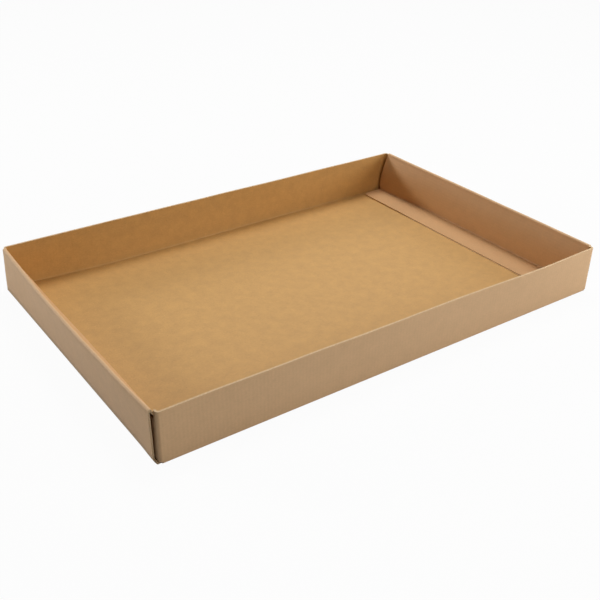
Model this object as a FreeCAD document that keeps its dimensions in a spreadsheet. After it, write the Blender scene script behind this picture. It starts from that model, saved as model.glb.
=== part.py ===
import FreeCAD, Part
import Sketcher
import math
import os

# A shallow cardboard tray, folded from one die-cut sheet of thin corrugated board.
# Millimetres. X runs along the tray, Y across it, Z up. The origin is on the surface it stands on,
# under the middle of the tray's outline.
doc = FreeCAD.newDocument("cardboard_tray")
Vector = FreeCAD.Vector

sheet = doc.addObject("Spreadsheet::Sheet", "Sizes")
DRIVING_SIZES = [
    ("tray_length", 460, "outside, over the feet of the two end walls"),
    ("tray_width", 300, "outside, over the two long walls"),
    ("wall_height", 46, "cut top edge of the long walls"),
    ("rim_height", 46.8, "rolled top of the end walls"),
    ("board_thickness", 1.6, "one layer of board"),
    ("fold_radius", 1.0, "inside of a crease"),
    ("rim_slit", 0.3, "air between the two layers of an end wall, just under its rolled rim"),
    ("layer_gap", 0.3, "air between two boards that lie against each other"),
    ("double_wall_foot", 6.4, "end wall at the floor, from outer face to inner face"),
    ("panel_belly", 2.0, "how far the inner end panel bellies into the tray below the flap's top"),
    ("inner_panel_gap", 3.4, "from the inner end panel's side edge to the long wall"),
    ("outer_panel_setback", 7.5, "from the corner to the outer end panel's cut side edge"),
    ("foot_flare_gap", 2.2, "from the corner to the tip of that panel's flared foot"),
    ("left_flange_width", 12, "strip of the left inner end panel that lies on the floor"),
    ("right_flange_width", 28.5, "the same strip at the right end"),
    ("flange_bevel", 3.0, "corner cut off each end of both strips"),
    ("flap_length", 110, "corner flap, from the corner fold to its free end"),
    ("flap_height", 38, "top edge of the corner flap, under the rolled rim"),
    ("bow_front", 2.0, "how far the left rim stands out of line at the front corner"),
    ("bow_middle", 4.4, "the same at the rim's middle"),
    ("bow_back", 0.0, "the same at the back corner"),
]
for row, (alias, value, meaning) in enumerate(DRIVING_SIZES, start=1):
    sheet.set("A%d" % row, meaning)
    sheet.set("B%d" % row, str(value))
    sheet.setAlias("B%d" % row, alias)
doc.recompute()

def size(alias):
    return float(sheet.get(alias))


# Sizes that follow from the sheet, as expressions. A crease is a quarter of a tube of board, and the
# long walls stop short of the ends by the board and the air that the corner flaps lie behind.
FOLD_OUTER = "(Sizes.fold_radius + Sizes.board_thickness)"
HALF_LENGTH = "(Sizes.tray_length / 2)"
HALF_WIDTH = "(Sizes.tray_width / 2)"
FLAP_INSET = "(Sizes.board_thickness + Sizes.layer_gap)"
FLOOR_HALF_LENGTH = "(%s - %s)" % (HALF_LENGTH, FOLD_OUTER)
FLOOR_HALF_WIDTH = "(%s - %s)" % (HALF_WIDTH, FOLD_OUTER)
WALL_HALF = "(%s - %s - %s)" % (HALF_LENGTH, FLAP_INSET, FOLD_OUTER)
CREASE_HALF = "(%s + %s / 2)" % (WALL_HALF, FOLD_OUTER)
# The flap's full-height shoulder ends just short of the inner end panel's side edge.
FLAP_SHOULDER = "(Sizes.inner_panel_gap - Sizes.layer_gap - Sizes.fold_radius)"


def place(obj, corner):
    """Bind an object's position to three expressions."""
    for axis, expression in zip("xyz", corner):
        obj.setExpression("Placement.Base.%s" % axis, "%s * 1 mm" % expression)


def flat_panel(name, corner, lengths):
    """A flat panel of board, from its lowest corner and its three lengths."""
    panel = doc.addObject("Part::Box", name)
    place(panel, corner)
    for side, expression in zip(("Length", "Width", "Height"), lengths):
        panel.setExpression(side, "%s * 1 mm" % expression)
    return panel


def quarter_fold(name, rotation, start, length):
    """A crease at right angles: a quarter of a tube of board along its own Z axis."""
    skins = []
    for skin, radius in (("outside", FOLD_OUTER), ("inside", "Sizes.fold_radius")):
        cylinder = doc.addObject("Part::Cylinder", "%s_%s" % (name, skin))
        cylinder.Angle = 90
        cylinder.Placement = FreeCAD.Placement(Vector(), rotation)
        place(cylinder, start)
        cylinder.setExpression("Radius", "%s * 1 mm" % radius)
        cylinder.setExpression("Height", "%s * 1 mm" % length)
        skins.append(cylinder)
    crease = doc.addObject("Part::Cut", name)
    crease.Base, crease.Tool = skins
    return crease


def joined(name, pieces):
    whole = doc.addObject("Part::MultiFuse", name)
    whole.Shapes = pieces
    whole.Refine = True
    return whole


def mirrored(name, source, normal):
    copy = doc.addObject("Part::Mirroring", name)
    copy.Source = source
    copy.Normal = normal
    return copy


# The floor: one flat panel between the four foot creases.
floor = flat_panel("floor",
                   ("-" + FLOOR_HALF_LENGTH, "-" + FLOOR_HALF_WIDTH, "0"),
                   ("2 * " + FLOOR_HALF_LENGTH, "2 * " + FLOOR_HALF_WIDTH, "Sizes.board_thickness"))

# The front long wall stands on its foot crease, which runs on a little under the corner folds.
front_wall = flat_panel("front_wall",
                        ("-" + WALL_HALF, "-" + HALF_WIDTH, FOLD_OUTER),
                        ("2 * " + WALL_HALF, "Sizes.board_thickness",
                         "(Sizes.wall_height - %s)" % FOLD_OUTER))
down_and_out = FreeCAD.Rotation(Vector(0, -1, 0), Vector(0, 0, -1), Vector(1, 0, 0), "ZXY")
front_crease = quarter_fold("front_crease", down_and_out,
                            ("-" + CREASE_HALF, "-" + FLOOR_HALF_WIDTH, FOLD_OUTER), "2 * " + CREASE_HALF)

# At each end the wall turns the corner and becomes a flap that lies inside the end wall.
corner_fold = quarter_fold("corner_fold", FreeCAD.Rotation(Vector(0, 0, 1), 180),
                           ("-" + WALL_HALF, "-" + FLOOR_HALF_WIDTH, FOLD_OUTER),
                           "(Sizes.wall_height - %s)" % FOLD_OUTER)


def corner_flap():
    """
    The flap's outline in the YZ plane, from the corner fold inwards, given the thickness of the board.
    It keeps the wall's height for a short shoulder, then drops to pass under the rolled rim.
    """
    body = doc.addObject("PartDesign::Body", "corner_flap")
    outline = body.newObject("Sketcher::SketchObject", "flap_outline")
    plane = next(f for f in body.Origin.OriginFeatures if f.Role == "YZ_Plane")
    outline.AttachmentSupport = (plane, "")
    outline.MapMode = "FlatFace"
    fold = -size("tray_width") / 2 + size("board_thickness") + size("fold_radius")
    shoulder = fold + size("inner_panel_gap") - size("layer_gap") - size("fold_radius")
    end = fold + size("flap_length")
    low = size("board_thickness") + size("fold_radius")
    high = size("flap_height")
    top = size("wall_height")
    corners = [(fold, low), (fold, top), (shoulder, top), (shoulder, high), (end, high), (end, low)]
    count = len(corners)
    for i in range(count):
        start, stop = corners[i], corners[(i + 1) % count]
        outline.addGeometry(Part.LineSegment(Vector(*start, 0), Vector(*stop, 0)))
    for i in range(count):
        outline.addConstraint(Sketcher.Constraint("Coincident", i, 2, (i + 1) % count, 1))
        outline.addConstraint(Sketcher.Constraint("Horizontal" if i % 2 else "Vertical", i))
    # Each distance runs from the first named point to the second; edge -1 is the sketch's origin.
    for direction, first, second, value, expression in (
            ("DistanceX", (0, 1), (-1, 1), -fold, FLOOR_HALF_WIDTH),
            ("DistanceY", (-1, 1), (0, 1), low, FOLD_OUTER),
            ("DistanceY", (-1, 1), (0, 2), top, "Sizes.wall_height"),
            ("DistanceX", (1, 1), (1, 2), shoulder - fold, FLAP_SHOULDER),
            ("DistanceY", (-1, 1), (3, 1), high, "Sizes.flap_height"),
            ("DistanceX", (0, 1), (4, 1), end - fold, "Sizes.flap_length")):
        k = outline.addConstraint(Sketcher.Constraint(direction, *first, *second, value))
        outline.setExpression("Constraints[%d]" % k, "%s * 1 mm" % expression)
    pad = body.newObject("PartDesign::Pad", "flap_board")
    pad.Profile = outline
    pad.setExpression("Length", "Sizes.board_thickness * 1 mm")
    body.setExpression("Placement.Base.x", "-(%s - %s) * 1 mm" % (HALF_LENGTH, FLAP_INSET))
    return body


left_corner = joined("left_corner", [corner_fold, corner_flap()])
right_corner = mirrored("right_corner", left_corner, Vector(1, 0, 0))
front_side = joined("front_side", [front_wall, front_crease, left_corner, right_corner])
back_side = mirrored("back_side", front_side, Vector(0, 1, 0))


# The end walls are swept from cross-sections at three stations across the tray.
# Across is measured inwards from the outer face, and up from the surface that the tray stands on.
board = size("board_thickness")
crease_inside = size("fold_radius")
crease_outside = crease_inside + board
rim_outside = board + size("rim_slit") / 2
rim_start = size("rim_height") - rim_outside
foot = size("double_wall_foot")
flange_low = board + size("layer_gap")
flange_top = flange_low + board
panel_low = flange_top + crease_inside
outer_face = -size("tray_length") / 2
corner = size("tray_width") / 2
flare_tip = corner - size("foot_flare_gap")
outer_half = corner - size("outer_panel_setback")
inner_half = corner - board - size("inner_panel_gap")
# The blocks that trim the sweep stand out past it by this much.
clear = size("rim_height")


def closed_outline(points):
    """A closed wire with straight edges; a tuple of three points is an arc through them."""
    edges = []
    for start, end in zip(points, points[1:] + points[:1]):
        if isinstance(start, tuple):
            edges.append(Part.Arc(*start).toShape())
            start = start[-1]
        if isinstance(end, tuple):
            end = end[0]
        if start != end:
            edges.append(Part.makeLine(start, end))
    return Part.Wire(edges)


def end_wall_section(y, bow, flange_end):
    """
    Up the outer panel, over the rim, down the inner panel, along the flange and back underneath.
    The inner panel leans in to pass over the top of the corner flap, and bellies out below it.
    The rim's crease is crushed flat, so it has no radius inside and ends in a slit.
    """
    def at(across, up):
        return Vector(outer_face + across, y, up)

    def crease(across, up, radius, start, end):
        """A quarter circle, low and on the outer side of its centre."""
        middle = radius * math.sqrt(0.5)
        return at(*start), at(across - middle, up - middle), at(*end)

    rim = -bow
    rim_top = at(rim + rim_outside, rim_start + rim_outside)
    rim_inner_face = at(rim + 2 * rim_outside, rim_start)
    rim_inner_back = at(rim + board + size("rim_slit"), rim_start)
    over_flap = board + flange_top + size("layer_gap")
    over_height = size("flap_height") + size("layer_gap")
    belly = (over_flap + foot) / 2 + size("panel_belly")
    belly_height = (over_height + panel_low) / 2
    heel = foot + crease_inside
    return closed_outline([
        crease(crease_outside, crease_outside, crease_outside, (crease_outside, 0), (0, crease_outside)),
        (at(rim, rim_start), rim_top, rim_inner_face),
        (at(over_flap, over_height), at(belly, belly_height), at(foot, panel_low)),
        crease(heel, panel_low, crease_inside, (foot, panel_low), (heel, flange_top)),
        at(flange_end, flange_top),
        at(flange_end, flange_low),
        crease(heel, panel_low, crease_outside, (heel, flange_low), (foot - board, panel_low)),
        (at(foot - board, panel_low), at(belly - board, belly_height), at(over_flap - board, over_height)),
        rim_inner_back,
        at(rim + board, rim_start),
        crease(crease_outside, crease_outside, crease_inside, (board, crease_outside), (crease_outside, board)),
    ])


def outer_side_section(y, bow):
    """All that lies on the outer side of a line which runs up between the two panels."""
    foot_line = (crease_outside + foot - board) / 2
    rim_line = rim_outside - bow
    top = size("rim_height") + clear
    outline = ((-clear, -clear), (foot_line, -clear), (foot_line, crease_outside), (rim_line, rim_start),
               (rim_line, top), (-clear, top))
    return closed_outline([Vector(outer_face + across, y, up) for across, up in outline])


def swept(section, bows, *lengths):
    """
    A solid through the section at the front, the middle and the back of an end wall. The bow at
    each is how far the rim stands out of line there, and a wall whose rim is straight is a prism.
    """
    if len(set(bows)) == 1:
        profile = Part.Face(section(-flare_tip, bows[0], *lengths))
        return profile.extrude(Vector(0, 2 * flare_tip, 0))
    stations = zip((-flare_tip, 0, flare_tip), bows)
    return Part.makeLoft([section(y, bow, *lengths) for y, bow in stations], True, False)


def end_wall(bows, flange_width):
    """The left end wall, with the sides of its two panels as they are cut in the flat sheet."""
    flange_end = foot + flange_width
    wall = swept(end_wall_section, bows, flange_end)
    outer_side = swept(outer_side_section, bows)
    free_edge = outer_face + flange_end
    bevel = size("flange_bevel")
    flare = flare_tip - outer_half
    flare_low = board / 2
    flare_middle = flare * (1 - math.sqrt(0.5))
    top = size("rim_height") + clear
    for side in (1, -1):
        # The outer panel's side stands back from the corner, and flares out to it at the foot.
        def on_end(y, z):
            return Vector(outer_face - 2 * clear, side * y, z)

        flared_foot = (on_end(flare_tip, flare_low),
                       on_end(outer_half + flare_middle, flare_low + flare_middle),
                       on_end(outer_half, flare_low + flare))
        waste = closed_outline([flared_foot, on_end(inner_half, rim_start), on_end(inner_half, 2 * top),
                                on_end(2 * corner, 2 * top), on_end(2 * corner, flare_low)])
        waste = Part.Face(waste).extrude(Vector(4 * clear, 0, 0)).common(outer_side)
        wall = wall.cut(waste)

        # The inner panel is narrower than the tray, and its flange has bevelled corners.
        def on_plan(x, y):
            return Vector(x, side * y, -2 * clear)

        waste = closed_outline([on_plan(outer_face - 2 * clear, inner_half),
                                on_plan(free_edge - bevel, inner_half),
                                on_plan(free_edge, inner_half - bevel),
                                on_plan(free_edge + clear, inner_half - bevel),
                                on_plan(free_edge + clear, 2 * corner),
                                on_plan(outer_face - 2 * clear, 2 * corner)])
        waste = Part.Face(waste).extrude(Vector(0, 0, 2 * top + 2 * clear)).cut(outer_side)
        wall = wall.cut(waste)
    return wall.removeSplitter()


# Both end walls fold alike. The left one is sprung out of line, and its floor strip is narrower.
left_end = doc.addObject("Part::Feature", "left_end")
left_end.Shape = end_wall((size("bow_front"), size("bow_middle"), size("bow_back")),
                          size("left_flange_width"))
straight_end = doc.addObject("Part::Feature", "straight_end")
straight_end.Shape = end_wall((0, 0, 0), size("right_flange_width"))
right_end = mirrored("right_end", straight_end, Vector(1, 0, 0))

tray = joined("folded_tray", [floor, front_side, back_side, left_end, right_end])
tray.Label = "folded_tray"
doc.recompute()

# The origin lies under the middle of the outline, the bowed rim included.
bounds = tray.Shape.optimalBoundingBox(False, False)
tray.Placement = FreeCAD.Placement(Vector(-bounds.Center.x, -bounds.Center.y, 0), FreeCAD.Rotation())
doc.recompute()

for obj in doc.Objects:
    if {"Invalid", "Error"} & set(obj.State):
        raise RuntimeError("%s did not recompute" % obj.Name)
if tray.Shape.isNull() or not tray.Shape.isValid() or len(tray.Shape.Solids) != 1:
    raise RuntimeError("%s is not one sound solid" % tray.Label)
os.makedirs("parts", exist_ok=True)
tray.Shape.exportStep("parts/%s.step" % tray.Label)
bounds = tray.Shape.optimalBoundingBox(False, False)
print("tray %.2f x %.2f x %.2f mm, volume %.0f mm3, X from %.2f to %.2f"
      % (bounds.XLength, bounds.YLength, bounds.ZLength, tray.Shape.Volume, bounds.XMin, bounds.XMax))
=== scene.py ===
import math

import bmesh
import bpy
from mathutils import Matrix, Vector


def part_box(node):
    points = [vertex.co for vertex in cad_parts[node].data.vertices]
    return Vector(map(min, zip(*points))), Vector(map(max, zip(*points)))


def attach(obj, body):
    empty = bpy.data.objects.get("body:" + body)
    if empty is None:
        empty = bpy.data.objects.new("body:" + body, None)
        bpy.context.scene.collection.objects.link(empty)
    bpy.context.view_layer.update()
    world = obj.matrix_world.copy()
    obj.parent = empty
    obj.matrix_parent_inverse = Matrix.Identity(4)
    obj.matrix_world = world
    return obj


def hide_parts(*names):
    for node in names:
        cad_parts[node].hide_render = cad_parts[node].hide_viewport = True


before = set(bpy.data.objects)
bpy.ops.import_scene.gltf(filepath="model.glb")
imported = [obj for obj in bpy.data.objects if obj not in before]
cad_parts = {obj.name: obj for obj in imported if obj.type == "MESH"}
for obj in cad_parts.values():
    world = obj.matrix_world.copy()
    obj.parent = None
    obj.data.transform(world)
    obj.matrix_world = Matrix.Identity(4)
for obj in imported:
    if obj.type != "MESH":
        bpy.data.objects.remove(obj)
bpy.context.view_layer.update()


# The camera stands in front of the tray's left end and looks down on it, so the far walls show their
# inner faces and the near walls their outer ones. It is rolled by a degree, as the horizon in the
# picture is. Angles are in degrees.
mm = 0.001
frame_pixels = 600
focal_pixels = 880.1
camera_turn, camera_height, camera_roll = math.radians(-36.07), math.radians(29.65), math.radians(1.29)
camera_distance = 819.1 * mm
aim = Vector((-9.25, -13.26, 0)) * mm

camera_data = bpy.data.cameras.new("camera")
camera_data.sensor_fit = "HORIZONTAL"
camera_data.sensor_width = 36
camera_data.lens = 36 * focal_pixels / frame_pixels
camera_data.clip_start, camera_data.clip_end = 0.01, 100
back = Vector((math.sin(camera_turn) * math.cos(camera_height),
               -math.cos(camera_turn) * math.cos(camera_height), math.sin(camera_height)))
level = Vector((0, 0, 1)).cross(back).normalized()
upright = back.cross(level)
right = level * math.cos(camera_roll) + upright * math.sin(camera_roll)
upward = upright * math.cos(camera_roll) - level * math.sin(camera_roll)
camera = bpy.data.objects.new("camera", camera_data)
camera.matrix_world = (Matrix.Translation(aim + back * camera_distance)
                       @ Matrix((right, upward, back)).transposed().to_4x4())
bpy.context.scene.collection.objects.link(camera)
bpy.context.scene.camera = camera


# The tray stands on a plain white sweep. What the camera sees of the sweep is lifted towards white,
# and it keeps a pale shadow of the tray; the tray itself is lit by its plain diffuse colour.
def linear(hex_colour):
    """An sRGB hex colour as linear RGBA."""
    channels = [int(hex_colour[i:i + 2], 16) / 255 for i in (1, 3, 5)]
    return [c / 12.92 if c <= 0.04045 else ((c + 0.055) / 1.055) ** 2.4 for c in channels] + [1.0]


def add_node(tree, kind, inputs=None, **settings):
    """Adds a node with its settings. Each input is a value or the socket that feeds it."""
    node = tree.nodes.new(kind)
    for name, value in settings.items():
        setattr(node, name, value)
    for key, value in (inputs or {}).items():
        if isinstance(value, bpy.types.NodeSocket):
            tree.links.new(value, node.inputs[key])
        else:
            node.inputs[key].default_value = value
    return node


sweep_size = 40.0
sweep_colour = "#c8c8c6"
sweep_lift = 0.96

sweep_mesh = bpy.data.meshes.new("sweep")
reach = sweep_size / 2
sweep_mesh.from_pydata([(-reach, -reach, 0), (reach, -reach, 0), (reach, reach, 0), (-reach, reach, 0)],
                       [], [(0, 1, 2, 3)])
sweep = bpy.data.objects.new("sweep", sweep_mesh)
bpy.context.scene.collection.objects.link(sweep)

sweep_paper = bpy.data.materials.new("white_backdrop_paper")
sweep_paper.use_nodes = True
tree = sweep_paper.node_tree
tree.nodes.clear()
matt = add_node(tree, "ShaderNodeBsdfDiffuse", {"Color": linear(sweep_colour)})
white = add_node(tree, "ShaderNodeEmission", {"Color": (1, 1, 1, 1), "Strength": 1.0})
seen = add_node(tree, "ShaderNodeLightPath")
straight = add_node(tree, "ShaderNodeMath", {0: seen.outputs["Is Camera Ray"],
                                             1: seen.outputs["Is Glossy Ray"]},
                    operation="MAXIMUM")
lift = add_node(tree, "ShaderNodeMath", {0: straight.outputs[0], 1: sweep_lift}, operation="MULTIPLY")
mixed = add_node(tree, "ShaderNodeMixShader", {0: lift.outputs[0], 1: matt.outputs[0], 2: white.outputs[0]})
add_node(tree, "ShaderNodeOutputMaterial", {"Surface": mixed.outputs[0]})
sweep_mesh.materials.append(sweep_paper)


# Light: a soft box above, a weak one in front, one low in front on the right that brightens the right end
# of the front wall, and a small one low behind on the left, which throws the back wall's shadow on the
# right end wall. The room between them is dim, and what a glossy surface mirrors of it is white.
room_colour = "#ffffff"
room_strength = 0.01

world = bpy.data.worlds.new("pale_room")
bpy.context.scene.world = world
world.use_nodes = True
tree = world.node_tree
tree.nodes.clear()
room = add_node(tree, "ShaderNodeBackground", {"Color": linear(room_colour), "Strength": room_strength})
white = add_node(tree, "ShaderNodeBackground", {"Color": (1, 1, 1, 1), "Strength": 1.0})
seen = add_node(tree, "ShaderNodeLightPath")
straight = add_node(tree, "ShaderNodeMath", {0: seen.outputs["Is Camera Ray"],
                                             1: seen.outputs["Is Glossy Ray"]},
                    operation="MAXIMUM")
mixed = add_node(tree, "ShaderNodeMixShader", {0: straight.outputs[0], 1: room.outputs[0],
                                               2: white.outputs[0]})
add_node(tree, "ShaderNodeOutputWorld", {"Surface": mixed.outputs[0]})


def soft_box(name, place, towards, width, watts, colour="#ffffff"):
    """A square area lamp that faces a point."""
    lamp = bpy.data.lights.new(name, "AREA")
    lamp.shape = "SQUARE"
    lamp.size = width
    lamp.energy = watts
    lamp.color = linear(colour)[:3]
    box = bpy.data.objects.new(name, lamp)
    box.location = place
    box.rotation_euler = (Vector(towards) - Vector(place)).to_track_quat("-Z", "Y").to_euler()
    bpy.context.scene.collection.objects.link(box)


soft_box("soft_box_above", (0.5, 0.4, 1.55), (0, 0, 0), 0.8, 19.5)
soft_box("soft_box_front_right", (0.80, -0.62, 0.34), (0.05, 0.0, 0.02), 0.42, 4.6)
soft_box("soft_box_front", (0.1, -1.7, 0.8), (0, 0, 0), 0.9, 6.2)
soft_box("soft_box_back_left", (-1.0, 1.0, 0.5), (0, 0, 0), 0.25, 7.7)


# The tray is one sheet of thin corrugated board, die-cut and creased, then folded up by hand.
# It is drawn first as the sheet's outside paper, strip by strip along its creases, and each strip is
# swept by the same tree of nodes. All lengths in this section are the board's own, in metres.
board = 1.6 * mm
crease = 1.0 * mm
crease_outside = crease + board
rim_radius = 1.75 * mm
half_length, half_width = 230 * mm, 150 * mm
wall_top, rim_top = 46 * mm, 46.8 * mm
floor_y = half_width - crease_outside
flap_gap = 0.3 * mm
wall_x = half_length - board - flap_gap - crease_outside
middle_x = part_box("folded_tray")[1].x - half_length
turn_steps = 8
along_steps, across_steps = 90, 60


def arc(centre, radius, start, end, steps=turn_steps):
    """Points on a circle between two angles in degrees, without the first."""
    angles = [math.radians(start + (end - start) * i / steps) for i in range(1, steps + 1)]
    return [(centre[0] + radius * math.cos(a), centre[1] + radius * math.sin(a)) for a in angles]


def run(start, end, steps):
    """Evenly spaced points on a straight line, without the first."""
    return [tuple(a + (b - a) * i / steps for a, b in zip(start, end)) for i in range(1, steps + 1)]


def mix(a, b, share):
    return a + (b - a) * min(max(share, 0), 1)


def lengths_along(points, start=0.0):
    """How far along the sheet each point of a section lies."""
    found = [start]
    for a, b in zip(points, points[1:]):
        found.append(found[-1] + math.dist(a, b))
    return found


def strip_tree():
    """Sweeps a section of the sheet sideways, between the two cut sides that each of its points names."""
    tree = bpy.data.node_groups.new("strip_of_board", "GeometryNodeTree")
    for name, kind in (("Section", "Geometry"), ("Steps", "Int"), ("Sweep", "Vector"),
                       ("Flat sweep", "Vector"),
                       ("Bow front", "Float"), ("Bow middle", "Float"), ("Bow back", "Float"),
                       ("Bow span", "Float"), ("Paper", "Material")):
        tree.interface.new_socket(name=name, in_out="INPUT", socket_type="NodeSocket" + kind)
    tree.interface.new_socket(name="Strip", in_out="OUTPUT", socket_type="NodeSocketGeometry")
    given = add_node(tree, "NodeGroupInput").outputs

    line = add_node(tree, "GeometryNodeCurvePrimitiveLine", {"Start": (0, 0, 0), "End": (0, 0, 1)})
    count = add_node(tree, "ShaderNodeMath", {0: given["Steps"], 1: 1}, operation="ADD")
    line = add_node(tree, "GeometryNodeResampleCurve", {"Curve": line.outputs[0],
                                                        "Count": count.outputs[0]})
    share = add_node(tree, "GeometryNodeSplineParameter")
    line = add_node(tree, "GeometryNodeStoreNamedAttribute",
                    {"Geometry": line.outputs[0], "Name": "across", "Value": share.outputs["Factor"]},
                    data_type="FLOAT", domain="POINT")
    section = add_node(tree, "GeometryNodeMeshToCurve", {"Mesh": given["Section"]})
    swept = add_node(tree, "GeometryNodeCurveToMesh",
                     {"Curve": line.outputs[0], "Profile Curve": section.outputs[0]})

    across = add_node(tree, "GeometryNodeInputNamedAttribute", {"Name": "across"},
                      data_type="FLOAT").outputs[0]
    low = add_node(tree, "GeometryNodeInputNamedAttribute", {"Name": "low"}, data_type="FLOAT").outputs[0]
    high = add_node(tree, "GeometryNodeInputNamedAttribute", {"Name": "high"}, data_type="FLOAT").outputs[0]
    lean = add_node(tree, "GeometryNodeInputNamedAttribute", {"Name": "lean"}, data_type="FLOAT").outputs[0]
    place = add_node(tree, "GeometryNodeInputNamedAttribute", {"Name": "place"},
                     data_type="FLOAT_VECTOR").outputs[0]
    flat = add_node(tree, "GeometryNodeInputNamedAttribute", {"Name": "flat"},
                    data_type="FLOAT_VECTOR").outputs[0]
    side = add_node(tree, "ShaderNodeMix", {0: across, 2: low, 3: high}, data_type="FLOAT").outputs[0]

    # How far the rim bows out at this point: a parabola through the front, the middle and the back.
    t = add_node(tree, "ShaderNodeMath", {0: side, 1: given["Bow span"]}, operation="DIVIDE").outputs[0]
    mean = add_node(tree, "ShaderNodeMix", {0: 0.5, 2: given["Bow front"], 3: given["Bow back"]},
                    data_type="FLOAT").outputs[0]
    bend = add_node(tree, "ShaderNodeMath", {0: mean, 1: given["Bow middle"]},
                    operation="SUBTRACT").outputs[0]
    tilt = add_node(tree, "ShaderNodeMath", {0: given["Bow back"], 1: mean},
                    operation="SUBTRACT").outputs[0]
    bow = add_node(tree, "ShaderNodeMath", {0: bend, 1: t, 2: tilt}, operation="MULTIPLY_ADD").outputs[0]
    bow = add_node(tree, "ShaderNodeMath", {0: bow, 1: t, 2: given["Bow middle"]},
                   operation="MULTIPLY_ADD").outputs[0]
    out = add_node(tree, "ShaderNodeMath", {0: bow, 1: lean}, operation="MULTIPLY").outputs[0]
    out = add_node(tree, "ShaderNodeMath", {0: out, 1: -1}, operation="MULTIPLY").outputs[0]
    out = add_node(tree, "ShaderNodeCombineXYZ", {"X": out}).outputs[0]

    place = add_node(tree, "ShaderNodeVectorMath", {0: place, 1: out}, operation="ADD").outputs[0]
    step = add_node(tree, "ShaderNodeVectorMath", {0: given["Sweep"], "Scale": side},
                    operation="SCALE").outputs[0]
    place = add_node(tree, "ShaderNodeVectorMath", {0: place, 1: step}, operation="ADD").outputs[0]
    step = add_node(tree, "ShaderNodeVectorMath", {0: given["Flat sweep"], "Scale": side},
                    operation="SCALE").outputs[0]
    flat = add_node(tree, "ShaderNodeVectorMath", {0: flat, 1: step}, operation="ADD").outputs[0]
    kept = add_node(tree, "GeometryNodeStoreNamedAttribute",
                    {"Geometry": swept.outputs[0], "Name": "flat", "Value": flat},
                    data_type="FLOAT_VECTOR", domain="POINT")
    moved = add_node(tree, "GeometryNodeSetPosition", {"Geometry": kept.outputs[0], "Position": place})
    real = add_node(tree, "GeometryNodeRealizeInstances", {"Geometry": moved.outputs[0]})
    dressed = add_node(tree, "GeometryNodeSetMaterial", {"Geometry": real.outputs[0],
                                                         "Material": given["Paper"]})
    add_node(tree, "NodeGroupOutput", {"Strip": dressed.outputs[0]})
    return tree


def plain_mesh(owner):
    """The object's mesh as its modifiers leave it; the modifiers are then taken off."""
    bpy.context.view_layer.update()
    seen = owner.evaluated_get(bpy.context.evaluated_depsgraph_get())
    mesh = bpy.data.meshes.new_from_object(seen, preserve_all_data_layers=True,
                                           depsgraph=bpy.context.evaluated_depsgraph_get())
    owner.modifiers.clear()
    owner.data = mesh
    return mesh


def add_tree(owner, tree, values):
    """Puts a tree of nodes on an object and sets its inputs by their identifiers."""
    modifier = owner.modifiers.new(tree.name, "NODES")
    modifier.node_group = tree
    for item in tree.interface.items_tree:
        if item.in_out == "INPUT" and item.name in values:
            modifier[item.identifier] = values[item.name]


folding = strip_tree()
outside_paper = bpy.data.materials.new("kraft_liner_outside")
inside_paper = bpy.data.materials.new("kraft_liner_inside")
cut_edge = bpy.data.materials.new("die_cut_board_edge")


def strip(name, points, sides, sweep_axis, flat, flat_axis, steps, weights=None, bow=(0, 0, 0)):
    """
    One strip of the sheet: its section, and for each point its two cut sides and its place in the
    flat sheet.
    """
    mesh = bpy.data.meshes.new(name)
    mesh.from_pydata(points, [(i, i + 1) for i in range(len(points) - 1)], [])
    values = {"low": [s[0] for s in sides], "high": [s[1] for s in sides]}
    for key in ("lean", "outer", "inner", "tongue"):
        values[key] = [weight[key] for weight in weights] if weights else [0.0] * len(points)
    for key in values:
        mesh.attributes.new(key, "FLOAT", "POINT").data.foreach_set("value", values[key])
    for key, values in (("place", points), ("flat", flat)):
        mesh.attributes.new(key, "FLOAT_VECTOR", "POINT").data.foreach_set("vector",
                                                                           [c for p in values for c in p])
    owner = bpy.data.objects.new(name, mesh)
    bpy.context.scene.collection.objects.link(owner)
    add_tree(owner, folding, {"Steps": steps, "Sweep": sweep_axis, "Flat sweep": flat_axis,
                              "Bow front": bow[0], "Bow middle": bow[1], "Bow back": bow[2],
                              "Bow span": 149 * mm, "Paper": outside_paper})
    plain_mesh(owner)
    return owner


# The floor, with the foot creases of the two long walls.
section = [(-half_width, crease_outside)] + arc((-floor_y, crease_outside), crease_outside, 180, 270)
section += run((-floor_y, 0), (floor_y, 0), across_steps)
section += arc((floor_y, crease_outside), crease_outside, 270, 360)
quarter = crease_outside * math.pi / 2
flat_y = lengths_along(section, -floor_y - quarter)
parts = [strip("floor_strip", [(middle_x, y, z) for y, z in section], [(-wall_x, wall_x)] * len(section),
               (1, 0, 0), [(0, y, 0) for y in flat_y], (1, 0, 0), along_steps)]

# The two long walls. At each end the wall turns the corner and becomes the flap that the end wall
# swallows: it keeps the wall's height for a short shoulder, then drops to pass under the rolled rim.
flap_x = half_length - board - flap_gap
flap_end, shoulder = floor_y - 110 * mm, 145.3 * mm
flap_top = 38 * mm
cut_width = 0.05 * mm
half_path = run((flap_x, flap_end), (flap_x, shoulder - cut_width), 20) + [(flap_x, shoulder + cut_width),
                                                                        (flap_x, floor_y)]
half_path = [(flap_x, flap_end)] + half_path + arc((wall_x, floor_y), crease_outside, 0, 90)
for name, side in (("front_strip", -1), ("back_strip", 1)):
    path = half_path + run((wall_x, half_width), (-wall_x, half_width), along_steps)
    path += [(-x, y) for x, y in reversed(half_path[:-1])]
    flat_x = lengths_along(path, 0)
    flat_x = [flat_x[-1] / 2 - x for x in flat_x]
    tops = [flap_top if y < shoulder else wall_top for _, y in path]
    parts.append(strip(name, [(middle_x + x, side * y, 0) for x, y in path],
                       [(crease_outside, top) for top in tops], (0, 0, 1),
                       [(x, side * (floor_y + quarter - crease_outside), 0) for x in flat_x],
                       (0, side, 0), 12))

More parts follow.
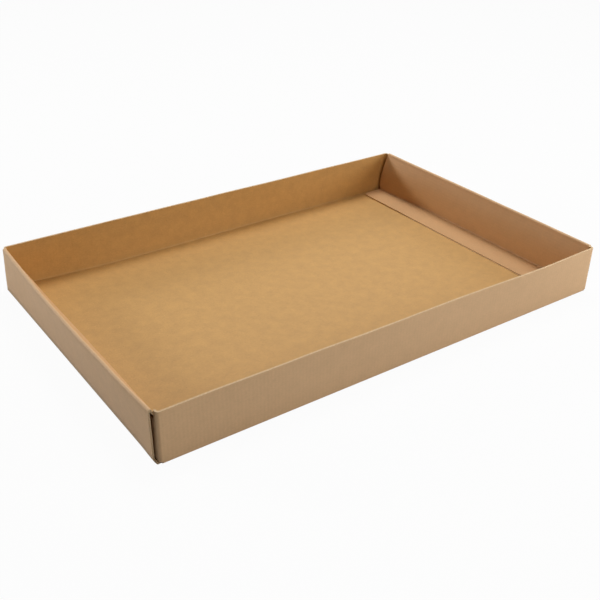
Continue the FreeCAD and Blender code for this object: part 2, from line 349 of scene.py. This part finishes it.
# The two end walls: the outer panel stands on its foot crease, rolls over at the rim, and comes down
# again as the inner panel, whose last strip lies on the floor. The left rim has sprung out of line.
double_foot = 6.4 * mm
flange_low = board + flap_gap
flange_top = flange_low + board
panel_low = flange_top + crease
rim_start = rim_top - rim_radius
over_flap = (2 * board + flap_gap + flap_gap + board, flap_top + flap_gap)
belly = 2.0 * mm
flare_tip, outer_half, inner_half = 147.8 * mm, 144 * mm, 145 * mm
flare = flare_tip - outer_half
flare_low = board / 2
flange_bevel = 3 * mm
# How far past the wall's line in the flat sheet the painted shade along the end walls' foot crease is
# centred.
foot_crease_reach = 6.5 * mm


def end_section(flange_width):
    """
    The section's points, their half widths and their weights: how much of the rim's bow each one takes,
    and how far it can spring as part of the outer panel, of the inner panel or of the flange.
    """
    points = [(half_length - wall_x, 0), (crease_outside, 0)]
    points += arc((crease_outside, crease_outside), crease_outside, 270, 180)
    points += run(points[-1], (0, flare_low + flare), 5) + run((0, flare_low + flare), (0, rim_start), 10)
    foot_and_outer = len(points)
    points += arc((rim_radius, rim_start), rim_radius, 180, 0, 12)
    rim_end = len(points)
    points += run(points[-1], over_flap, 4)
    low_end, high_end = (double_foot, panel_low), over_flap
    for i in range(1, 13):
        share = i / 12
        inward = high_end[0] + (low_end[0] - high_end[0]) * share + 4 * belly * share * (1 - share)
        points.append((inward, high_end[1] + (low_end[1] - high_end[1]) * share))
    points += arc((double_foot + crease, panel_low), crease, 180, 270)
    heel = len(points) - 1
    flange_end = double_foot + flange_width
    points += run(points[-1], (flange_end - flange_bevel, flange_top), 6) + [(flange_end, flange_top)]

    halves, weights = [], []
    for i, (across, up) in enumerate(points):
        if i < 2:
            half = floor_y
        elif i >= foot_and_outer:
            half = inner_half
        elif up < flare_low + flare:
            half = flare_tip - math.sqrt(max(flare ** 2 - min(flare_low + flare - up, flare) ** 2, 0))
        else:
            half = mix(outer_half, inner_half, (up - flare_low - flare) / (rim_start - flare_low - flare))
        halves.append(half)
        weight = {"lean": 0.0, "outer": 0.0, "inner": 0.0, "tongue": 0.0}
        if i < rim_end:
            weight["lean"] = mix(0, 1, (up - crease_outside) / (rim_start - crease_outside))
            weight["outer"] = mix(0, 1, up / crease_outside) * mix(1, 0, up / rim_start)
        else:
            weight["lean"] = mix(0, 1, (up - over_flap[1]) / (rim_start - over_flap[1]))
        if i > heel:
            weight["tongue"] = (across - points[heel][0]) / (flange_end - points[heel][0])
            weight["inner"] = 1 - weight["tongue"]
        elif i >= rim_end:
            weight["inner"] = mix(1, 0, (up - panel_low) / (rim_start - panel_low))
        weights.append(weight)
    halves[-1] = inner_half - flange_bevel
    return points, halves, weights


for name, side, flange_width, bow in (("left_strip", -1, 12 * mm, (2.0 * mm, 4.4 * mm, 0.0)),
                                      ("right_strip", 1, 28.5 * mm, (0.0, 0.0, 0.0))):
    points, halves, weights = end_section(flange_width)
    flat_x = lengths_along(points, wall_x)
    foot_flat_x = wall_x + foot_crease_reach
    rim_flat_x = flat_x[max(range(len(points)), key=lambda i: points[i][1])]
    parts.append(strip(name, [(middle_x + side * (half_length - across), 0, up) for across, up in points],
                       [(-half, half) for half in halves], (0, 1, 0), [(side * x, 0, 0) for x in flat_x],
                       (0, 1, 0), across_steps, weights, bow))

# The strips are one sheet: they are joined along their shared edges, with the outside paper outwards.
bpy.ops.object.select_all(action="DESELECT")
for part in parts:
    part.select_set(True)
tray = parts[0]
bpy.context.view_layer.objects.active = tray
bpy.ops.object.join()
sheet = bmesh.new()
sheet.from_mesh(tray.data)
bmesh.ops.remove_doubles(sheet, verts=sheet.verts, dist=0.002 * mm)
bmesh.ops.recalc_face_normals(sheet, faces=sheet.faces)
floor_middle = Vector((middle_x, 0, 0))
floor_face = min(sheet.faces, key=lambda face: (face.calc_center_median() - floor_middle).length)
if floor_face.normal.z > 0:
    bmesh.ops.reverse_faces(sheet, faces=sheet.faces)
sheet.to_mesh(tray.data)
sheet.free()
tray.name = tray.data.name = "folded_sheet"


# Folded by hand, the board is a little out of true. The foot of the back wall is splayed at the left and
# bowed further along, the front wall bulges near its right end, the inner end panel on the right is
# pushed in at its back corner, the flange sags, and the outer end panel stands off at the front corner.
def sprung_tree():
    """Moves the points of the folded sheet by smooth amounts, each a length with a name."""
    tree = bpy.data.node_groups.new("sprung_board", "GeometryNodeTree")
    for name, kind in (("Sheet", "Geometry"), ("Middle", "Float"), ("Foot splay", "Float"),
                       ("Back bow", "Float"),
                       ("Front bulge", "Float"), ("Panel push", "Float"), ("Flange sag", "Float"),
                       ("Corner gap", "Float"), ("Ripple", "Float"), ("Ripple length", "Float"),
                       ("Paper", "Material")):
        tree.interface.new_socket(name=name, in_out="INPUT", socket_type="NodeSocket" + kind)
    tree.interface.new_socket(name="Sheet", in_out="OUTPUT", socket_type="NodeSocketGeometry")
    given = add_node(tree, "NodeGroupInput").outputs

    def grow(value, start, end):
        """0 before the start, 1 past the end and smooth between them."""
        return add_node(tree, "ShaderNodeMapRange", {0: value, 1: start, 2: end, 3: 0.0, 4: 1.0},
                        interpolation_type="SMOOTHSTEP").outputs[0]

    def times(first, *others):
        for other in others:
            first = add_node(tree, "ShaderNodeMath", {0: first, 1: other}, operation="MULTIPLY").outputs[0]
        return first

    def total(first, *others):
        for other in others:
            first = add_node(tree, "ShaderNodeMath", {0: first, 1: other}, operation="ADD").outputs[0]
        return first

    def weight(name):
        return add_node(tree, "GeometryNodeInputNamedAttribute", {"Name": name},
                        data_type="FLOAT").outputs[0]

    place = add_node(tree, "GeometryNodeInputPosition").outputs[0]
    parts = add_node(tree, "ShaderNodeSeparateXYZ", {0: place}).outputs
    x = add_node(tree, "ShaderNodeMath", {0: parts["X"], 1: given["Middle"]},
                 operation="SUBTRACT").outputs[0]
    y, z = parts["Y"], parts["Z"]
    near_foot, near_top = grow(z, rim_top, 0.0), grow(z, 0.0, rim_top)
    at_back, at_front = grow(y, 0.4 * half_width, half_width), grow(y, -0.7 * half_width, -half_width)

    splay = times(given["Foot splay"], grow(x, -0.5 * half_length, -half_length), near_foot, at_back)
    bowed = times(given["Back bow"], grow(x, -0.3 * half_length, 0.3 * half_length), near_foot, at_back)
    bulge = times(given["Front bulge"], grow(x, 0.2 * half_length, 0.6 * half_length),
                  grow(x, half_length, 0.65 * half_length), near_top, at_front, -1.0)
    pushed = times(given["Panel push"], weight("inner"), grow(x, 0.0, 0.8 * half_length),
                   grow(y, 0.45 * half_width, half_width), -1.0)
    stands_off = times(given["Corner gap"], weight("outer"), grow(x, 0.0, -0.8 * half_length),
                       grow(y, -0.8 * half_width, -0.95 * half_width), -1.0)

    # The ripple is a slow noise. The flange's free edge sags on to the floor.
    slow = add_node(tree, "ShaderNodeMath", {0: 1.0, 1: given["Ripple length"]},
                    operation="DIVIDE").outputs[0]
    slow = add_node(tree, "ShaderNodeVectorMath", {0: place, "Scale": slow}, operation="SCALE").outputs[0]
    noise = add_node(tree, "ShaderNodeTexNoise", {"Vector": slow, "Scale": 1.0, "Detail": 1.0})
    noise = add_node(tree, "ShaderNodeVectorMath", {0: noise.outputs["Color"], 1: (0.5, 0.5, 0.5)},
                     operation="SUBTRACT").outputs[0]
    swing = times(given["Ripple"], near_top)
    ripple = add_node(tree, "ShaderNodeVectorMath", {0: noise, "Scale": swing},
                      operation="SCALE").outputs[0]
    ripple = add_node(tree, "ShaderNodeVectorMath", {0: ripple, 1: (1.0, 1.0, 0.35)},
                      operation="MULTIPLY").outputs[0]
    sagged = times(given["Flange sag"], weight("tongue"), -1.0)

    offset = add_node(tree, "ShaderNodeCombineXYZ",
                      {"X": total(pushed, stands_off), "Y": total(splay, bowed, bulge),
                       "Z": sagged}).outputs[0]
    offset = add_node(tree, "ShaderNodeVectorMath", {0: offset, 1: ripple}, operation="ADD").outputs[0]
    moved = add_node(tree, "GeometryNodeSetPosition", {"Geometry": given["Sheet"], "Offset": offset})
    real = add_node(tree, "GeometryNodeRealizeInstances", {"Geometry": moved.outputs[0]})
    dressed = add_node(tree, "GeometryNodeSetMaterial", {"Geometry": real.outputs[0],
                                                         "Material": given["Paper"]})
    add_node(tree, "NodeGroupOutput", {"Sheet": dressed.outputs[0]})
    return tree


add_tree(tray, sprung_tree(), {
    "Middle": middle_x, "Foot splay": 6.0 * mm, "Back bow": 2.2 * mm, "Front bulge": 1.6 * mm,
    "Panel push": 4.5 * mm, "Flange sag": 0.28 * mm, "Corner gap": 0.7 * mm, "Ripple": 1.6 * mm,
    "Ripple length": 70 * mm, "Paper": outside_paper})
plain_mesh(tray)

# The board has its thickness on the inside of that paper: the inside paper there, and cut edges
# between the two. Each point knows which side of the board it is on, for the flutes in the cut edges.
thickness = tray.modifiers.new("board", "SOLIDIFY")
thickness.thickness = board
thickness.offset = -1
thickness.use_even_offset = True
thickness.use_rim = True
thickness.material_offset = 1
thickness.material_offset_rim = 2
tray.data.materials.clear()
for paper in (outside_paper, inside_paper, cut_edge):
    tray.data.materials.append(paper)
outside_points = len(tray.data.vertices)
mesh = plain_mesh(tray)
through = mesh.attributes.new("through", "FLOAT", "POINT")
through.data.foreach_set("value", [float(i >= outside_points) for i in range(len(mesh.vertices))])
mesh.shade_smooth()
mesh.set_sharp_from_angle(angle=math.radians(40))
for name in ("across", "low", "high", "lean", "place", "outer", "inner", "tongue"):
    if name in mesh.attributes:
        mesh.attributes.remove(mesh.attributes[name])


# The outside paper is a smooth brown kraft liner, a little pink; the inside paper is rougher and more
# golden. Both are matt, with clouds of uneven pulp, short fibres along the mill's direction and a
# faint washboard of the flutes below. Patterns lie on the flat sheet, so they follow the folds.
flute_pitch = 3.2
cloud_size = 11.0
fibre_length, fibre_width = 2.2, 1.0
# Painted bounce light and shade on the turned-in panels: their colour is multiplied by this tint.
painted_bounce_tint = (0.87, 0.78, 0.65)
# Painted shade along the end walls' foot crease: its width in mm and how much it darkens the paper.
foot_shade_width, foot_shade_depth = 5.0, 0.26


def liner(paper, colour, cloud, fibre, fleck, washboard):
    """Gives a material the look of a kraft liner, with painted shade along the end walls' foot crease and a
    painted warm bounce on the turned-in panels; the last four are the strengths of its patterns.
    """
    paper.use_nodes = True
    tree = paper.node_tree
    tree.nodes.clear()
    flat = add_node(tree, "ShaderNodeAttribute", attribute_name="flat").outputs["Vector"]
    flat = add_node(tree, "ShaderNodeVectorMath", {0: flat, "Scale": 1 / mm}, operation="SCALE").outputs[0]
    clouds = add_node(tree, "ShaderNodeTexNoise", {"Vector": flat, "Scale": 1 / cloud_size, "Detail": 4.0,
                                                   "Roughness": 0.65}).outputs["Fac"]
    clouds = add_node(tree, "ShaderNodeMapRange", {0: clouds, 1: 0.3, 2: 0.7, 3: -cloud,
                                                   4: cloud}).outputs[0]
    along = add_node(tree, "ShaderNodeMapping", {"Vector": flat,
                                                   "Scale": (1 / fibre_length, 1 / fibre_width, 1)},
                     vector_type="POINT").outputs[0]
    fibres = add_node(tree, "ShaderNodeTexNoise", {"Vector": along, "Scale": 1.0, "Detail": 3.0,
                                                   "Roughness": 0.6, "Distortion": 0.6}).outputs["Fac"]
    strands = add_node(tree, "ShaderNodeMapRange", {0: fibres, 1: 0.3, 2: 0.7, 3: -fibre,
                                                    4: fibre}).outputs[0]
    flecks = add_node(tree, "ShaderNodeTexNoise", {"Vector": flat, "Scale": 0.8, "Detail": 3.0,
                                                   "Roughness": 0.5}).outputs["Fac"]
    dark_flecks = add_node(tree, "ShaderNodeMapRange", {0: flecks, 1: 0.28, 2: 0.4, 3: -fleck,
                                                        4: 0}).outputs[0]
    flecks = add_node(tree, "ShaderNodeMapRange", {0: flecks, 1: 0.6, 2: 0.74, 3: 0, 4: fleck}).outputs[0]
    flat_parts = add_node(tree, "ShaderNodeSeparateXYZ", {0: flat})
    turns = add_node(tree, "ShaderNodeMath", {0: flat_parts.outputs["X"], 1: 2 * math.pi / flute_pitch},
                     operation="MULTIPLY").outputs[0]
    ridges = add_node(tree, "ShaderNodeMath", {0: turns}, operation="SINE").outputs[0]
    shade = add_node(tree, "ShaderNodeMath", {0: ridges, 1: washboard, 2: 1},
                     operation="MULTIPLY_ADD").outputs[0]
    for pattern in (clouds, strands, flecks, dark_flecks):
        shade = add_node(tree, "ShaderNodeMath", {0: shade, 1: pattern}, operation="ADD").outputs[0]
    tint = add_node(tree, "ShaderNodeVectorMath", {0: linear(colour)[:3], "Scale": shade},
                    operation="SCALE")
    # Painted shade: along the foot crease of each end wall the paper is darkened in a band, standing in for
    # the shade under the curled foot and its contact shadow on the floor.
    painted_foot_shade = add_node(tree, "ShaderNodeMath", {0: flat_parts.outputs["X"]}, operation="ABSOLUTE").outputs[0]
    painted_foot_shade = add_node(tree, "ShaderNodeMath", {0: painted_foot_shade, 1: foot_flat_x / mm},
                      operation="SUBTRACT").outputs[0]
    painted_foot_shade = add_node(tree, "ShaderNodeMath", {0: painted_foot_shade}, operation="ABSOLUTE").outputs[0]
    painted_foot_shade = add_node(tree, "ShaderNodeMapRange", {0: painted_foot_shade, 1: 0.0, 2: foot_shade_width, 3: 1 - foot_shade_depth,
                                                   4: 1},
                      interpolation_type="SMOOTHSTEP").outputs[0]
    tint = add_node(tree, "ShaderNodeVectorMath", {0: tint.outputs[0], "Scale": painted_foot_shade}, operation="SCALE")
    # Painted light: past the rim in the flat sheet, the panels that turn in are tinted warmer and darker,
    # standing in for the warm light bounced from the floor and the shade inside the tray.
    painted_bounce_mask = add_node(tree, "ShaderNodeMath", {0: flat_parts.outputs["X"]}, operation="ABSOLUTE").outputs[0]
    painted_bounce_mask = add_node(tree, "ShaderNodeMapRange", {0: painted_bounce_mask, 1: rim_flat_x / mm, 2: rim_flat_x / mm + 3,
                                                   3: 0, 4: 1}, interpolation_type="SMOOTHSTEP").outputs[0]
    painted_bounce_colour = add_node(tree, "ShaderNodeMix", {0: painted_bounce_mask, 4: (1, 1, 1), 5: painted_bounce_tint},
                      data_type="VECTOR").outputs[1]
    tint = add_node(tree, "ShaderNodeVectorMath", {0: tint.outputs[0], 1: painted_bounce_colour}, operation="MULTIPLY")
    relief = add_node(tree, "ShaderNodeMath", {0: ridges, 1: 0.25, 2: fibres},
                      operation="MULTIPLY_ADD").outputs[0]
    bumps = add_node(tree, "ShaderNodeBump", {"Height": relief, "Distance": 0.05 * mm, "Strength": 0.6})
    surface = add_node(tree, "ShaderNodeBsdfPrincipled",
                       {"Base Color": tint.outputs[0], "Roughness": 0.6, "IOR": 1.5,
                        "Specular IOR Level": 0.5,
                        "Normal": bumps.outputs[0]})
    add_node(tree, "ShaderNodeOutputMaterial", {"Surface": surface.outputs[0]})


liner(outside_paper, "#d4ad81", cloud=0.035, fibre=0.045, fleck=0.03, washboard=0.012)
liner(inside_paper, "#c39656", cloud=0.07, fibre=0.045, fleck=0.16, washboard=0.0)


# The cut edge shows the sandwich: a liner along each side and the fluted paper between, pressed nearly
# shut by the cutting rule, and paler than the faces because fresh fibre shows.
cut_edge.use_nodes = True
tree = cut_edge.node_tree
tree.nodes.clear()
flat = add_node(tree, "ShaderNodeAttribute", attribute_name="flat").outputs["Vector"]
flat = add_node(tree, "ShaderNodeVectorMath", {0: flat, "Scale": 1 / mm}, operation="SCALE").outputs[0]
through = add_node(tree, "ShaderNodeAttribute", attribute_name="through").outputs["Fac"]
flat_parts = add_node(tree, "ShaderNodeSeparateXYZ", {0: flat})
turns = add_node(tree, "ShaderNodeMath", {0: flat_parts.outputs["X"], 1: 2 * math.pi / flute_pitch},
                 operation="MULTIPLY").outputs[0]
wave = add_node(tree, "ShaderNodeMath", {0: turns}, operation="SINE").outputs[0]
wave = add_node(tree, "ShaderNodeMath", {0: wave, 1: 0.26, 2: 0.5}, operation="MULTIPLY_ADD").outputs[0]
away = add_node(tree, "ShaderNodeMath", {0: through, 1: wave}, operation="SUBTRACT").outputs[0]
away = add_node(tree, "ShaderNodeMath", {0: away}, operation="ABSOLUTE").outputs[0]
flute = add_node(tree, "ShaderNodeMapRange", {0: away, 1: 0.08, 2: 0.2, 3: 1, 4: 0}).outputs[0]
centred = add_node(tree, "ShaderNodeMath", {0: through, 1: 0.5}, operation="SUBTRACT").outputs[0]
centred = add_node(tree, "ShaderNodeMath", {0: centred}, operation="ABSOLUTE").outputs[0]
liners = add_node(tree, "ShaderNodeMapRange", {0: centred, 1: 0.34, 2: 0.4, 3: 0, 4: 1}).outputs[0]
paper = add_node(tree, "ShaderNodeMath", {0: flute, 1: liners}, operation="MAXIMUM").outputs[0]
ragged = add_node(tree, "ShaderNodeTexNoise", {"Vector": flat, "Scale": 0.9, "Detail": 3.0}).outputs["Fac"]
ragged = add_node(tree, "ShaderNodeMapRange", {0: ragged, 1: 0.3, 2: 0.7, 3: 0.9, 4: 1.08}).outputs[0]
tint = add_node(tree, "ShaderNodeMix", {0: paper, 6: linear("#cba87e"), 7: linear("#e8cfaa")},
                data_type="RGBA")
tint = add_node(tree, "ShaderNodeVectorMath", {0: tint.outputs[2], "Scale": ragged}, operation="SCALE")
surface = add_node(tree, "ShaderNodeBsdfPrincipled",
                   {"Base Color": tint.outputs[0], "Roughness": 0.95, "IOR": 1.45,
                    "Specular IOR Level": 0.2})
add_node(tree, "ShaderNodeOutputMaterial", {"Surface": surface.outputs[0]})

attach(tray, "root")
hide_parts("folded_tray")

bpy.context.scene.view_settings.view_transform = "Standard"
